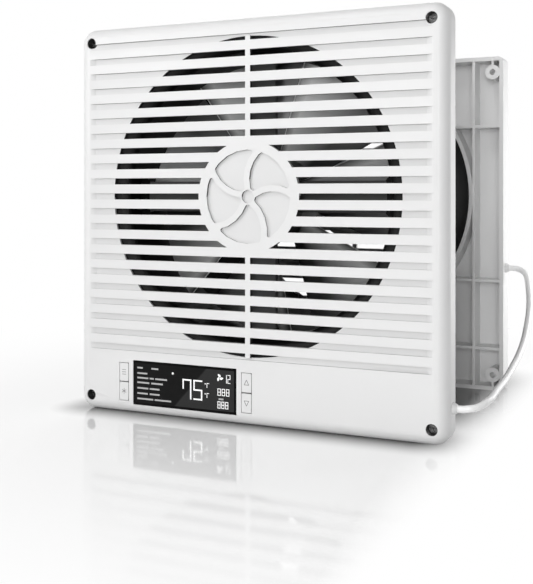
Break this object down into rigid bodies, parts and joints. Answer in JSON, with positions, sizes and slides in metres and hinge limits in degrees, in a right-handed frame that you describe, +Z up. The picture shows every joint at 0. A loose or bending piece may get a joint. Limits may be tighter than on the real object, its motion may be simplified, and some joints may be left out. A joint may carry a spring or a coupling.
{
  "type": "through-wall fan",
  "caption": "Through-wall booster fan: a square louvred front unit with display and buttons, a telescoping round duct with an axial fan, and a louvred rear unit.",
  "frame": {"origin": "middle of the footprint on the surface that the two panels stand on, halfway between the front panel's face and the rear panel's face", "axes": "+X across the front panel to the right as seen from the room, +Y from the front panel through the wall, +Z up"},
  "size_m": [0.2841, 0.193, 0.26],
  "materials": {
    "white_abs": "fine satin moulded, white",
    "key_plastic": "satin, light grey",
    "display_glass": "polished, smoke tinted",
    "display_cell": "display cell, dark",
    "black_plastic": "satin moulded, black",
    "dark_plastic": "matt, black",
    "circuit_board": "solder mask, green",
    "steel": "bright zinc",
    "copper": "enamelled copper wire",
    "ferrite": "sintered, dark",
    "white_rubber": "soft, white",
    "cable_jacket": "smooth jacket, white"
  },
  "bodies": {
    "front_unit": {"front_cover": "white_abs", "display_lens": "display_glass", "display_panel": "display_cell", "display_holder": "white_abs", "control_board": "circuit_board", "tact_switches": "dark_plastic", "remote_receiver": "dark_plastic", "power_jack": "dark_plastic", "board_screws": "steel", "mounting_plate": "white_abs", "cover_screws": "steel", "fan_screws": "steel", "fan_frame": "black_plastic", "motor_board": "circuit_board", "stator_core": "steel", "stator_windings": "copper", "front_bearing": "steel", "rear_bearing": "steel", "front_tube": "black_plastic", "front_grommet": "white_rubber", "link_cable": "cable_jacket"},
    "fan_rotor": {"motor_shaft": "steel", "shaft_clip": "steel", "magnet_ring": "ferrite", "rotor_cup": "steel", "impeller": "black_plastic"},
    "rear_unit": {"rear_cover": "white_abs", "rear_tube": "black_plastic", "rear_grommet": "white_rubber"},
    "menu_key": {"menu_button": "key_plastic"},
    "mode_key": {"mode_button": "key_plastic"},
    "up_key": {"up_button": "key_plastic"},
    "down_key": {"down_button": "key_plastic"}
  },
  "joints": [
    {"name": "fan_spin", "type": "hinge", "parent": "front_unit", "child": "fan_rotor", "pos_m": [0, -0.0547, 0.1455], "axis": [0, 1, 0], "continuous": true},
    {"name": "wall_fit", "type": "slide", "parent": "front_unit", "child": "rear_unit", "axis": [0, 1, 0], "range_m": [-0.036, 0.036]},
    {"name": "menu_press", "type": "slide", "parent": "front_unit", "child": "menu_key", "axis": [0, 1, 0], "range_m": [0, 0.0008], "stiffness_N_per_m": 600},
    {"name": "mode_press", "type": "slide", "parent": "front_unit", "child": "mode_key", "axis": [0, 1, 0], "range_m": [0, 0.0008], "stiffness_N_per_m": 600},
    {"name": "up_press", "type": "slide", "parent": "front_unit", "child": "up_key", "axis": [0, 1, 0], "range_m": [0, 0.0008], "stiffness_N_per_m": 600},
    {"name": "down_press", "type": "slide", "parent": "front_unit", "child": "down_key", "axis": [0, 1, 0], "range_m": [0, 0.0008], "stiffness_N_per_m": 600}
  ]
}
